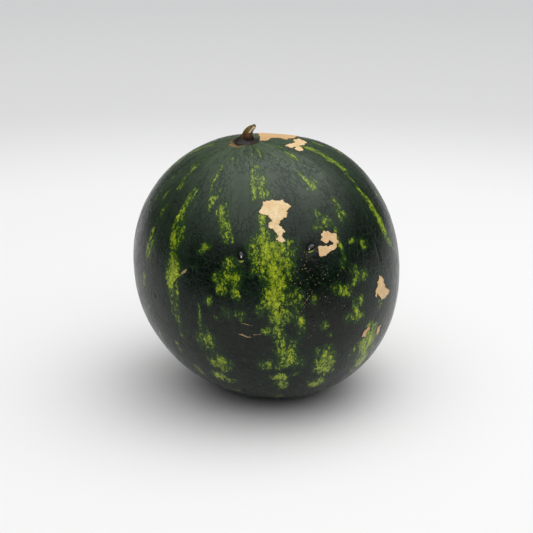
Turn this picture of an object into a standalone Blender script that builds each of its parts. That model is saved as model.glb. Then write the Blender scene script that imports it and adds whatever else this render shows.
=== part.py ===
"""Whole watermelon with a dried stub of stalk.

Metres, +Z up. The melon rests on a small flat spot at Z = 0, and the origin is under the middle of
its bounding box. The stalk is on top, a little to the -X side, and bends towards +X.

The body is a sphere that four gentle effects pull out of round: it is slightly oval, slightly
pear-shaped, very slightly square, and it has a shallow hollow beside the stalk.
"""

import math

import bmesh
import bpy
import numpy as np
from mathutils import Vector

# ---------------------------------------------------------------- driving dimensions (metres)
MEAN_RADIUS = 0.1026        # radius of the sphere that the body starts as
REST_HEIGHT = 0.1013        # from the flat spot up to the body's middle
OVAL_AMOUNT = 0.042         # how much longer the body is along the oval axis, as a share
OVAL_AXIS = (-0.73, 0.20, 0.65)
PEAR_AMOUNT = 0.042         # how much fuller one end is than the other, as a share
PEAR_AXIS = (0.59, 0.25, 0.77)
PEAR_BALANCE = 0.6          # share of the tilt taken back out, so that the body doesn't shift
SQUARENESS = 2.105          # exponent of the rounded-box shape; 2 is a sphere
HOLLOW_AXIS = (0.07, 0.19, 0.98)
HOLLOW_DEPTH = 0.022        # share of the radius
HOLLOW_SPREAD = math.radians(14)

BODY_SUBDIVISIONS = 5       # each one splits every triangle of an icosahedron into four

STEM_AZIMUTH = math.radians(220.7)      # round +Z from +X, seen from the body's middle
STEM_ELEVATION = math.radians(78.4)     # up from the horizontal
STEM_SIDES = 30
STEM_RIBS = 5               # low ribs that run up the stalk
STEM_RIB_HEIGHT = 0.07      # share of the stalk's radius
STEM_STEPS = 4              # rings between two stations
FIT_GAP = 0.0003            # between the stalk's foot and the rind
SLOPE_STEP = 0.001          # how far apart the skin is felt for its slope, in radians

# Stations up the stalk, from inside the rind to past its cut: (towards +X, towards +Y, outwards, radius)
STEM_STATIONS = (
    (0.0000, 0.0000, -0.0060, 0.0102),
    (0.0000, 0.0000, -0.0016, 0.0098),
    (0.0002, 0.0000, 0.0000, 0.0077),
    (0.0005, 0.0000, 0.0015, 0.0057),
    (0.0010, 0.0000, 0.0034, 0.0046),
    (0.0017, 0.0001, 0.0055, 0.0038),
    (0.0028, 0.0002, 0.0073, 0.0031),
    (0.0045, 0.0003, 0.0089, 0.0024),
    (0.0066, 0.0004, 0.0101, 0.0017),
    (0.0081, 0.0004, 0.0110, 0.0012),
)
CUT_POINT = (0.0075, 0.0004, 0.0105)    # on the slanting cut, from the foot's middle
CUT_NORMAL = (0.75, -0.55, 0.37)        # out of the cut end
CUT_TOLERANCE = 1e-7                    # how close to the cut a vertex counts as on it
SHARP_EDGE = math.radians(40)           # faces that meet at a steeper angle get a crisp edge

RIND_COLOUR = (0.035, 0.060, 0.040, 1.0)
STALK_COLOUR = (0.060, 0.036, 0.014, 1.0)
RIND_ROUGHNESS = 0.38
STALK_ROUGHNESS = 0.55


def clear_scene():
    """Remove every object that is already in the file."""
    for item in list(bpy.data.objects):
        bpy.data.objects.remove(item, do_unlink=True)


def unit(vector):
    """Scale a vector to length one."""
    vector = np.asarray(vector, dtype=float)
    return vector / np.linalg.norm(vector)


def body_radius(directions):
    """Distance from the body's middle to its skin, along each unit direction."""
    along_oval = directions @ unit(OVAL_AXIS)
    along_pear = directions @ unit(PEAR_AXIS)
    share = 1 + OVAL_AMOUNT * (along_oval**2 - 1 / 3)
    share += PEAR_AMOUNT * (along_pear**3 - PEAR_BALANCE * along_pear)
    share *= (np.abs(directions) ** SQUARENESS).sum(axis=1) ** (-1 / SQUARENESS)
    from_hollow = np.arccos(np.clip(directions @ unit(HOLLOW_AXIS), -1, 1))
    share -= HOLLOW_DEPTH * np.exp(-((from_hollow / HOLLOW_SPREAD) ** 2))
    return MEAN_RADIUS * share


def plain_material(name, colour, roughness):
    """One Principled material in one colour."""
    material = bpy.data.materials.new(name)
    material.use_nodes = True
    shader = material.node_tree.nodes["Principled BSDF"]
    shader.inputs["Base Color"].default_value = colour
    shader.inputs["Roughness"].default_value = roughness
    shader.inputs["Metallic"].default_value = 0.0
    return material


def finish_object(name, mesh_maker, material):
    """Turn a bmesh into a smooth-shaded object with its material."""
    mesh = bpy.data.meshes.new(name)
    mesh_maker.to_mesh(mesh)
    mesh_maker.free()
    mesh.shade_smooth()
    mesh.set_sharp_from_angle(angle=SHARP_EDGE)
    mesh.materials.append(material)
    item = bpy.data.objects.new(name, mesh)
    bpy.context.collection.objects.link(item)
    return item


def shaped_body(extra=0.0):
    """The melon's body around its own middle, with its skin moved out by extra."""
    shape = bmesh.new()
    bmesh.ops.create_icosphere(shape, subdivisions=BODY_SUBDIVISIONS, radius=1.0)
    directions = np.array([vert.co.normalized() for vert in shape.verts])
    for vert, direction, radius in zip(shape.verts, directions, body_radius(directions)):
        vert.co = Vector(direction) * (radius + extra)
    return shape


def cut_and_close(shape, point, normal):
    """Slice off what lies beyond a plane, and close the cut with one flat face."""
    parts = shape.verts[:] + shape.edges[:] + shape.faces[:]
    cut = bmesh.ops.bisect_plane(
        shape, geom=parts, dist=CUT_TOLERANCE, plane_co=point, plane_no=normal, clear_outer=True
    )
    rim = [part for part in cut["geom_cut"] if isinstance(part, bmesh.types.BMEdge)]
    bmesh.ops.edgeloop_fill(shape, edges=rim)


def middle_over_origin():
    """Where the body's middle goes, so that the origin is under the middle of its box."""
    shape = shaped_body()
    points = np.array([vert.co for vert in shape.verts])
    shape.free()
    middle = (points.min(axis=0) + points.max(axis=0)) / 2
    return Vector((-middle[0], -middle[1], REST_HEIGHT))


def make_fruit(middle, material):
    """The melon: its body, cut level where it rests."""
    shape = shaped_body()
    cut_and_close(shape, (0, 0, -REST_HEIGHT), (0, 0, -1))
    bmesh.ops.translate(shape, verts=shape.verts[:], vec=middle)
    bmesh.ops.recalc_face_normals(shape, faces=shape.faces[:])
    return finish_object("fruit", shape, material)


def skin_point(direction):
    """Where the skin is in one direction from the body's middle."""
    direction = Vector(direction).normalized()
    return direction * body_radius(np.array(direction)[None, :])[0]


def stem_foot():
    """The point on the skin where the stalk stands, and the way the skin faces there."""
    level = math.cos(STEM_ELEVATION)
    direction = Vector(
        (level * math.cos(STEM_AZIMUTH), level * math.sin(STEM_AZIMUTH), math.sin(STEM_ELEVATION))
    )
    across = direction.orthogonal().normalized() * SLOPE_STEP
    along = direction.cross(across)
    slope_across = skin_point(direction + across) - skin_point(direction - across)
    slope_along = skin_point(direction + along) - skin_point(direction - along)
    return skin_point(direction), slope_across.cross(slope_along).normalized()


def stem_rings():
    """Middle, direction and radius of each ring up the stalk, on a smooth curve."""
    stations = np.array(STEM_STATIONS)
    ends = np.vstack([2 * stations[0] - stations[1], stations, 2 * stations[-1] - stations[-2]])
    rings = []
    for index in range(len(stations) - 1):
        before, start, stop, after = ends[index : index + 4]
        for step in range(STEM_STEPS):
            t = step / STEM_STEPS
            place = 0.5 * (
                2 * start
                + (stop - before) * t
                + (2 * before - 5 * start + 4 * stop - after) * t**2
                + (3 * start - 3 * stop + after - before) * t**3
            )
            rings.append(place)
    rings = np.array(rings + [stations[-1]])
    headings = np.gradient(rings[:, :3], axis=0)
    return [(Vector(ring[:3]), Vector(heading), ring[3]) for ring, heading in zip(rings, headings)]


def place_ring(verts, centre, heading, radius):
    """Put a ring of vertices round a point of the stalk, with its low ribs."""
    turn = Vector((0, 0, 1)).rotation_difference(heading)
    for number, vert in enumerate(verts):
        angle = 2 * math.pi * number / STEM_SIDES
        reach = radius * (1 + STEM_RIB_HEIGHT * math.cos(STEM_RIBS * angle))
        spoke = Vector((reach * math.cos(angle), reach * math.sin(angle), 0))
        vert.co = centre + turn @ spoke


def make_stem(middle, cutter, material):
    """The stalk: rings bridged up a bent line, cut on the slant, and hollowed to fit the rind."""
    shape = bmesh.new()
    rims = []
    for ring in stem_rings():
        verts = bmesh.ops.create_circle(shape, radius=1.0, segments=STEM_SIDES)["verts"]
        place_ring(verts, *ring)
        rims.append(list({edge for vert in verts for edge in vert.link_edges}))
    for lower, upper in zip(rims, rims[1:]):
        bmesh.ops.bridge_loops(shape, edges=lower + upper)
    for rim in (rims[0], rims[-1]):
        bmesh.ops.edgeloop_fill(shape, edges=rim)
    cut_and_close(shape, CUT_POINT, CUT_NORMAL)
    foot, outwards = stem_foot()
    lean = Vector((0, 0, 1)).rotation_difference(outwards).to_matrix()
    bmesh.ops.rotate(shape, verts=shape.verts[:], cent=(0, 0, 0), matrix=lean)
    bmesh.ops.translate(shape, verts=shape.verts[:], vec=middle + foot)
    bmesh.ops.recalc_face_normals(shape, faces=shape.faces[:])
    stem = finish_object("stem", shape, material)
    fit = stem.modifiers.new("Fit to rind", "BOOLEAN")
    fit.operation = "DIFFERENCE"
    fit.solver = "EXACT"
    fit.object = cutter
    return stem


def make_cutter(middle):
    """A guide shape: the body with its skin moved out by the gap, to cut the stalk's foot."""
    shape = shaped_body(FIT_GAP)
    bmesh.ops.translate(shape, verts=shape.verts[:], vec=middle)
    mesh = bpy.data.meshes.new("stem_cutter")
    shape.to_mesh(mesh)
    shape.free()
    cutter = bpy.data.objects.new("stem_cutter", mesh)
    cutter.hide_render = True
    cutter.display_type = "WIRE"
    bpy.context.collection.objects.link(cutter)
    return cutter


def main():
    """Build the melon and its stalk."""
    clear_scene()
    middle = middle_over_origin()
    make_fruit(middle, plain_material("rind", RIND_COLOUR, RIND_ROUGHNESS))
    cutter = make_cutter(middle)
    make_stem(middle, cutter, plain_material("stalk", STALK_COLOUR, STALK_ROUGHNESS))


main()
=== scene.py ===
# %% [markdown]
# # A watermelon, finished
#
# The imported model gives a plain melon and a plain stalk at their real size. This file gives them the
# looks: a dark, waxy rind with mottled stripes, corky scars, two beads of dried sap and a ribbed, withered
# stalk. Everything is in metres, +Z up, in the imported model's own frame.

# %% Load the frame
import math
import random

import bmesh
import bpy
import numpy as np
from mathutils import Matrix, Vector, noise


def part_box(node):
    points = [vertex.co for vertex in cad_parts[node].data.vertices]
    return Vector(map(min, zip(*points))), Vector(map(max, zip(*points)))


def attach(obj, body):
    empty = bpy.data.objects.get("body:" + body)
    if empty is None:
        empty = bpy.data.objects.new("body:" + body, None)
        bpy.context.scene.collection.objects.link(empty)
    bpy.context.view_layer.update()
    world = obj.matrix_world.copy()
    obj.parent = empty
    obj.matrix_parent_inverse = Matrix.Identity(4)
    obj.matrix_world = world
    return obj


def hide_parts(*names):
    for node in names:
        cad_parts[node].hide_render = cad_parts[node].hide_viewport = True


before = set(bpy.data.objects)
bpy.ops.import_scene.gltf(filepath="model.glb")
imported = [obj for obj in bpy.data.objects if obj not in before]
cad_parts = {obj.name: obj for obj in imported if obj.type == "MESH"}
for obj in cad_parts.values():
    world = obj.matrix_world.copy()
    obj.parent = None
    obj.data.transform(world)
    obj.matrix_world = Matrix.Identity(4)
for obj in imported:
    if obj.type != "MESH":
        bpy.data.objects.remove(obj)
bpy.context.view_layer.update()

# %% [markdown]
# ## The body's shape
#
# A melon swells between its stem end and its blossom end, and it is never a true sphere. A sculpted mesh
# would hold thousands of numbers that nobody can read, so the body is one formula instead: a sphere that
# is slightly oval, slightly pear-shaped and very slightly square, with a shallow hollow beside the stalk.
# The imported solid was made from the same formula, so a finer mesh of it fits exactly.

# %% The formula
MEAN_RADIUS = 0.1026        # radius of the sphere that the body starts as
REST_HEIGHT = 0.1013        # from the flat spot up to the body's middle
OVAL_AMOUNT = 0.042         # how much longer the body is along the oval axis, as a share
OVAL_AXIS = (-0.73, 0.20, 0.65)
PEAR_AMOUNT = 0.042         # how much fuller one end is than the other, as a share
PEAR_AXIS = (0.59, 0.25, 0.77)
PEAR_BALANCE = 0.6          # share of the tilt taken back out, so that the body doesn't shift
SQUARENESS = 2.105          # exponent of the rounded-box shape; 2 is a sphere
HOLLOW_AXIS = (0.07, 0.19, 0.98)
HOLLOW_DEPTH = 0.022        # share of the radius
HOLLOW_SPREAD = math.radians(14)


def unit(vector):
    """Scale a vector to length one."""
    vector = np.asarray(vector, dtype=float)
    return vector / np.linalg.norm(vector)


def body_radius(directions):
    """Distance from the body's middle to its skin, along each unit direction."""
    along_oval = directions @ unit(OVAL_AXIS)
    along_pear = directions @ unit(PEAR_AXIS)
    share = 1 + OVAL_AMOUNT * (along_oval**2 - 1 / 3)
    share += PEAR_AMOUNT * (along_pear**3 - PEAR_BALANCE * along_pear)
    share *= (np.abs(directions) ** SQUARENESS).sum(axis=1) ** (-1 / SQUARENESS)
    from_hollow = np.arccos(np.clip(directions @ unit(HOLLOW_AXIS), -1, 1))
    share -= HOLLOW_DEPTH * np.exp(-((from_hollow / HOLLOW_SPREAD) ** 2))
    return MEAN_RADIUS * share


print("radius to the right, to the back and upwards:", body_radius(np.eye(3)).round(4))

# %% [markdown]
# ## Growth lines
#
# Stripes, streaks and cracks all run from the stem end to the blossom end, so it is easiest to place them
# as on a globe: longitude 0 faces the viewer and grows to the right, and latitude 90 is the stem end. The
# globe leans a little, because the melon doesn't rest exactly on its blossom end.

# %% The globe
MM = 1000                   # millimetres in a metre
FAR_MM = 1000.0             # a distance that stands for "nowhere near"
HALF_SIDE = 0.5             # cosine of 60 degrees, past which a place is on another side of the melon
STEM_END = unit((-0.143, -0.087, 0.986))
FACING = unit(np.array((0.0, -1.0, 0.0)) - STEM_END * -STEM_END[1])
RIGHTWARD = np.cross(STEM_END, FACING)


def globe_angles(directions):
    """Longitude and latitude of each unit direction, in degrees."""
    longitude = np.degrees(np.arctan2(directions @ RIGHTWARD, directions @ FACING))
    latitude = np.degrees(np.arcsin(np.clip(directions @ STEM_END, -1, 1)))
    return longitude, latitude


def globe_direction(longitude, latitude):
    """The unit direction at a longitude and latitude, in degrees."""
    east, north = math.radians(longitude), math.radians(latitude)
    level = math.cos(east) * FACING + math.sin(east) * RIGHTWARD
    return math.cos(north) * level + math.sin(north) * STEM_END


def local_millimetres(directions, longitude, latitude):
    """Places round a spot on the skin, in mm to its east and north; far ones are sent away."""
    centre = globe_direction(longitude, latitude)
    east = unit(np.cross(STEM_END, centre))
    north = np.cross(centre, east)
    towards = directions @ centre
    near = towards > HALF_SIDE
    reach = np.where(near, MM * MEAN_RADIUS / np.where(near, towards, 1), 0)
    local = np.stack([directions @ east, directions @ north], axis=1) * reach[:, None]
    return np.where(near[:, None], local, FAR_MM)


print("stem end at", [round(v, 3) for v in STEM_END])

# %% [markdown]
# ## Scars and scratches
#
# Where a young melon rubbed against a leaf or the ground, its skin healed as dry, tan cork with a crisp,
# wandering edge. Each scar is an outline in millimetres round a spot on the globe. Scratches are drawn the
# same way, only thin. Thin closed outlines are simple to edit, and the distance to them gives both the
# colour's edge and the cork's raised rim.

# %% Outlines, in mm east and north of (longitude, latitude)
SCARS = {
    "middle": ((11, 39), (
        (-6, 16.5), (-0.5, 16.5), (4, 15.2), (8, 15), (12, 9), (8.5, 5.5), (8.5, 2.5), (6, 1.5), (3, 0),
        (0.5, -2.5), (2.5, -4.5), (3, -8.5), (1.5, -10.5), (2.5, -14), (0, -15.5), (-2.5, -14.5),
        (-3.5, -12.5), (-1.5, -10.5), (-3.5, -7.5), (-4, -5.5), (-7, -3), (-6, -0.5), (-3.5, 0),
        (-4, 3.5), (-6, 6), (-10, 8), (-10, 10))),
    "hook": ((31, 25), (
        (0, 9.5), (4.5, 7.5), (9.5, 3.5), (8.5, -1.5), (5, -5), (-1.5, -6.5), (-7.5, -7.5),
        (-9, -5.5), (-8.5, -0.5), (-7, 0), (0, -2), (4, -2), (4.5, 0), (1.5, 1.5), (-1, 0.5),
        (-5, 4.5), (-2.5, 5.5))),
    "right": ((52, -3), (
        (1.5, 11), (4.5, 8), (6.5, 3.5), (6.5, -1), (13, -6), (10.5, -8), (3, -8.5), (-2.5, -4),
        (-4, -0.5), (-6, -3), (-7.5, -1.5), (-6.5, 2), (-3.5, 4), (-2.5, 7.5))),
    "shoulder": ((75, 69), (
        (-6.5, 8), (3.5, 1.5), (8.5, 4.5), (18.5, 2), (12.5, -5.5), (4, -5), (-0.5, -2), (-2, -5.5),
        (-6.5, -6.5), (-10, -5), (-8.5, -1), (-5, 0), (-8, 2.5))),
    "crown": ((120, 76), (
        (23, 4), (26, -3), (22, -9), (23, -14), (16, -18), (14, -23), (6, -24.5), (-2, -17),
        (-11, -10.5), (-11, -4.5), (-15.5, -0.5), (-9, 3), (-7, 7.5), (-11.5, 13.5), (-11, 20.5),
        (-0.5, 15), (11.5, 9))),
    "low_chip": ((42, -17), ((2, 2.5), (4, 0), (0.5, -1.5), (-1, -4.5), (-4.5, -2.5), (-3.5, 0.5))),
    "low_sliver": ((52, -21), ((2.5, 3), (0.5, 0.5), (-1, -5.5), (-3.5, -3), (-3, 2.5))),
    "far_side": ((172, 12), (
        (-9, 6), (-3, 9), (4, 8), (9, 3), (7, -2), (2, -3), (4, -8), (-1, -11), (-5, -6), (-10, -3))),
}
SCAR_TONES = {
    "middle": 0.0, "hook": 0.5, "right": 0.35, "shoulder": 0.3, "crown": 0.95, "low_chip": 1.0,
    "low_sliver": 0.6, "far_side": 0.4}
SCRATCHES = {
    "left_nick": ((-34, 21), ((-3, -2), (-1, 0.6), (2.2, 2.4), (1.4, 0.2), (-1.2, -1.6))),
    "low_left": ((-11, -5), ((-3.6, 1.6), (-0.5, 1.6), (3.2, -1.0), (6.5, -1.6), (2.4, -1.6), (-1.2, 0.6))),
    "low_left_hair": ((-6, -5), ((-4, 0.4), (4, 0.2), (4, -0.1), (-4, 0.1))),
    "upper_hair": ((-9, 0), ((-4.6, 2.0), (0, 0.2), (4.4, -1.6), (0, -0.3))),
    "right_hair": ((16, 6), ((-3.4, -3.2), (0.3, 0.6), (3.2, 3.4), (0.6, 0.3))),
    "right_hair_low": ((13, 2), ((-2, -2.2), (0.4, 0.4), (2, 2.2), (0, 0.1))),
}
MARK_REACH_MM = 60          # the distance to an outline is worked out only this close to its spot
OUTSIDE_MM = -50.0          # the distance that places further away get


def inside_distance(places, outline):
    """Distance in mm from each place to a closed outline, positive inside it."""
    outline = np.asarray(outline, dtype=float)
    nearest = np.full(len(places), np.inf)
    inside = np.zeros(len(places), dtype=bool)
    for start, stop in zip(outline, np.roll(outline, -1, axis=0)):
        side = stop - start
        along = np.clip((places - start) @ side / (side @ side), 0, 1)
        gap = places - start - along[:, None] * side
        nearest = np.minimum(nearest, np.hypot(gap[:, 0], gap[:, 1]))
        crosses = (start[1] > places[:, 1]) != (stop[1] > places[:, 1])
        height = stop[1] - start[1]
        if height:
            reach = start[0] + (places[:, 1] - start[1]) * side[0] / height
            inside ^= crosses & (places[:, 0] < reach)
    return np.where(inside, nearest, -nearest)


def deepest(directions, marks):
    """The largest inside distance to any of a set of marks, in mm."""
    depth = np.full(len(directions), OUTSIDE_MM)
    for (longitude, latitude), outline in marks.values():
        places = local_millimetres(directions, longitude, latitude)
        close = np.abs(places).max(axis=1) < MARK_REACH_MM
        depth[close] = np.maximum(depth[close], inside_distance(places[close], outline))
    return depth


def tone_of_nearest(directions):
    """How brown the nearest scar is, from 0 for pale cork to 1."""
    depth = np.full(len(directions), OUTSIDE_MM)
    tone = np.zeros(len(directions))
    for name, mark in SCARS.items():
        here = deepest(directions, {name: mark})
        tone[here > depth] = SCAR_TONES[name]
        depth = np.maximum(depth, here)
    return tone


print(len(SCARS), "scars and", len(SCRATCHES), "scratches")

# %% [markdown]
# ## Dimples
#
# Two drops of sap dried in small dimples on the front, and there are a few shallow pits and dents. They are
# real hollows in the mesh, so that they catch the light from every side.

# %% Dimples: longitude, latitude, half width and half height in mm, depth in mm, tilt in degrees
SAP_BEADS = {
    "left_sap_bead": (-8.1, 26.9, 2.5, 3.9, 0),
    "right_sap_bead": (23.0, 25.2, 3.7, 2.6, 24),
}
BEAD_MARGIN = 1.25          # how much wider than its bead a dimple is
BEAD_DIMPLE_MM = 0.7
DIMPLES = [
    (lon, lat, wide * BEAD_MARGIN, tall * BEAD_MARGIN, BEAD_DIMPLE_MM, tilt)
    for lon, lat, wide, tall, tilt in SAP_BEADS.values()]
DIMPLES += [
    (-13.4, -18.6, 4.0, 3.0, 0.7, 0),
    (-7.5, -6.7, 1.2, 0.8, 0.4, 0),
    (15.5, 42.9, 0.7, 0.6, 0.4, 0),
    (-40.9, 6.1, 0.8, 1.2, 0.35, 0),
    (-41.0, 4.4, 0.8, 1.0, 0.35, 0),
    (-41.4, 1.4, 0.9, 1.6, 0.35, 0),
    (-51.7, 7.9, 0.8, 1.8, 0.4, 30),
    (58.6, 23.0, 1.0, 4.5, 0.5, -8),
    (55.8, 12.0, 1.3, 8.0, 0.45, 0),
    (4.8, 4.4, 0.8, 3.0, 0.35, -12),
    (-38.6, 16.6, 0.8, 5.0, 0.4, -38),
]


def dimple_shares(directions):
    """For each dimple, how strongly it takes each direction, from 0 to 1 at its middle, and its depth."""
    for longitude, latitude, wide, tall, depth, tilt in DIMPLES:
        places = local_millimetres(directions, longitude, latitude)
        turn = math.radians(tilt)
        across = places[:, 0] * math.cos(turn) + places[:, 1] * math.sin(turn)
        along = places[:, 1] * math.cos(turn) - places[:, 0] * math.sin(turn)
        yield np.exp(-((across / wide) ** 2 + (along / tall) ** 2)), depth


print(len(DIMPLES), "dimples and pits, of which", len(SAP_BEADS), "hold sap")

# %% [markdown]
# ## The fine mesh
#
# An icosphere has no poles, so no vertex crowds at the stem. Seven splits give triangles of 1.7 mm, which
# is enough for the plain skin. Near the scars and dimples the edges are split again, down to 0.2 mm at the
# scratches, because that is where the surface has fine relief.

# %% Split an icosphere where detail is needed
SPHERE_SPLITS = 7
REFINE_BANDS_MM = (3.0, 1.3)
SCRATCH_BAND_MM = 0.9
DIMPLE_BAND = 0.03


def vert_directions(shape):
    """The unit direction of every vertex."""
    points = np.array([vert.co for vert in shape.verts])
    return points / np.linalg.norm(points, axis=1)[:, None]


def split_where(shape, wanted):
    """Split each edge that has a wanted end, and make the result triangles again."""
    shape.verts.ensure_lookup_table()
    chosen = [edge for edge in shape.edges if wanted[edge.verts[0].index] or wanted[edge.verts[1].index]]
    bmesh.ops.subdivide_edges(shape, edges=chosen, cuts=1, use_grid_fill=True)
    many_sided = [face for face in shape.faces if len(face.verts) > 3]
    bmesh.ops.triangulate(shape, faces=many_sided)
    shape.verts.index_update()


def near_dimples(directions):
    """True where a dimple has any real effect."""
    return np.max([share for share, depth in dimple_shares(directions)], axis=0) > DIMPLE_BAND


body = bmesh.new()
bmesh.ops.create_icosphere(body, subdivisions=SPHERE_SPLITS, radius=1.0)
for band in REFINE_BANDS_MM:
    ways = vert_directions(body)
    edge_gap = np.abs(deepest(ways, SCARS))
    scratch_gap = np.abs(deepest(ways, SCRATCHES))
    split_where(body, (edge_gap < band) | (scratch_gap < band) | near_dimples(ways))
ways = vert_directions(body)
split_where(body, np.abs(deepest(ways, SCRATCHES)) < SCRATCH_BAND_MM)
ways = vert_directions(body)
print("fine melon:", len(body.verts), "vertices,", len(body.faces), "triangles")

# %% [markdown]
# ## Relief
#
# The skin of a melon isn't machined: broad, shallow swellings follow the vessels under the rind. Cork
# stands a fifth of a millimetre proud, with a slightly higher lip. Where the melon rests, its skin is
# pressed flat, and it rounds off into the side over a few millimetres.

# %% Move the skin in and out
SWELLING = 0.0005           # height of the broad swellings
SWELLING_SCALE = 26.0
RIPPLE = 0.00012            # height of the smaller ripples on them
RIPPLE_SCALE = 110.0
RAGGED_MM = (0.55, 0.30)    # how far the cork's edge wanders, coarsely and finely
RAGGED_SCALES = (420.0, 966.0)
SCAR_WANDER = 2.0           # share of that which a scar's edge takes
SCRATCH_WANDER = 0.25       # and a scratch's
CORK_RISE = 0.00016
CORK_STEP_MM = (-0.3, 0.5)  # the cork rises over this stretch of its edge
CORK_LIP = 0.00010
LIP_MIDDLE_MM = 0.35        # how far inside the edge the lip stands
LIP_WIDTH_MM = 0.4
SCRATCH_RISE = 0.00010
SCRATCH_STEP_MM = (-0.2, 0.2)
PRESS_SOFTNESS = 0.0012     # how softly the pressed spot rounds off


def step_up(values, low, high):
    """Rise smoothly from 0 at low to 1 at high."""
    share = np.clip((values - low) / (high - low), 0, 1)
    return share * share * (3 - 2 * share)


def lumps(directions, scale):
    """Smooth, seedless noise over the skin, from about -1 to 1."""
    return np.array([noise.noise(Vector(way) * MEAN_RADIUS * scale) for way in directions])


wander_mm = sum(far * lumps(ways, scale) for far, scale in zip(RAGGED_MM, RAGGED_SCALES))
scar_depth = deepest(ways, SCARS) + SCAR_WANDER * wander_mm
scratch_depth = deepest(ways, SCRATCHES) + SCRATCH_WANDER * wander_mm
radius = body_radius(ways) + SWELLING * lumps(ways, SWELLING_SCALE) + RIPPLE * lumps(ways, RIPPLE_SCALE)
radius += CORK_RISE * step_up(scar_depth, *CORK_STEP_MM)
radius += CORK_LIP * np.exp(-(((scar_depth - LIP_MIDDLE_MM) / LIP_WIDTH_MM) ** 2))
radius += SCRATCH_RISE * step_up(scratch_depth, *SCRATCH_STEP_MM)
# The strongest dimple share, which the shader turns into painted shade in the hollows.
dimple_shade_share = np.zeros(len(ways))
for share, depth in dimple_shares(ways):
    radius -= depth / MM * share
    dimple_shade_share = np.maximum(dimple_shade_share, share)
skin = ways * radius[:, None]
plain_skin = ways * body_radius(ways)[:, None]
raw_middle = (plain_skin.min(axis=0) + plain_skin.max(axis=0)) / 2
fruit_low, fruit_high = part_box("fruit")
MIDDLE = np.array([(fruit_low[0] + fruit_high[0]) / 2, (fruit_low[1] + fruit_high[1]) / 2, REST_HEIGHT])
MIDDLE[:2] -= raw_middle[:2]
skin = skin + MIDDLE
skin[:, 2] = PRESS_SOFTNESS * np.log1p(np.exp(skin[:, 2] / PRESS_SOFTNESS))
skin[:, 2] -= skin[:, 2].min()
print("body's middle at", MIDDLE.round(4), "lowest skin", skin[:, 2].min().round(5))

# %% [markdown]
# ## Stripes
#
# The stripes are made of blotches that follow the growth lines, wide and ragged low down and thin towards
# the stem. Each blotch is a soft ellipse on the globe: longitude, latitude, half width and half length in
# degrees of arc, and strength. A soft field like this holds where the stripes are; the shader's noise
# later breaks it into crisp, mottled patches.

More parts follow.
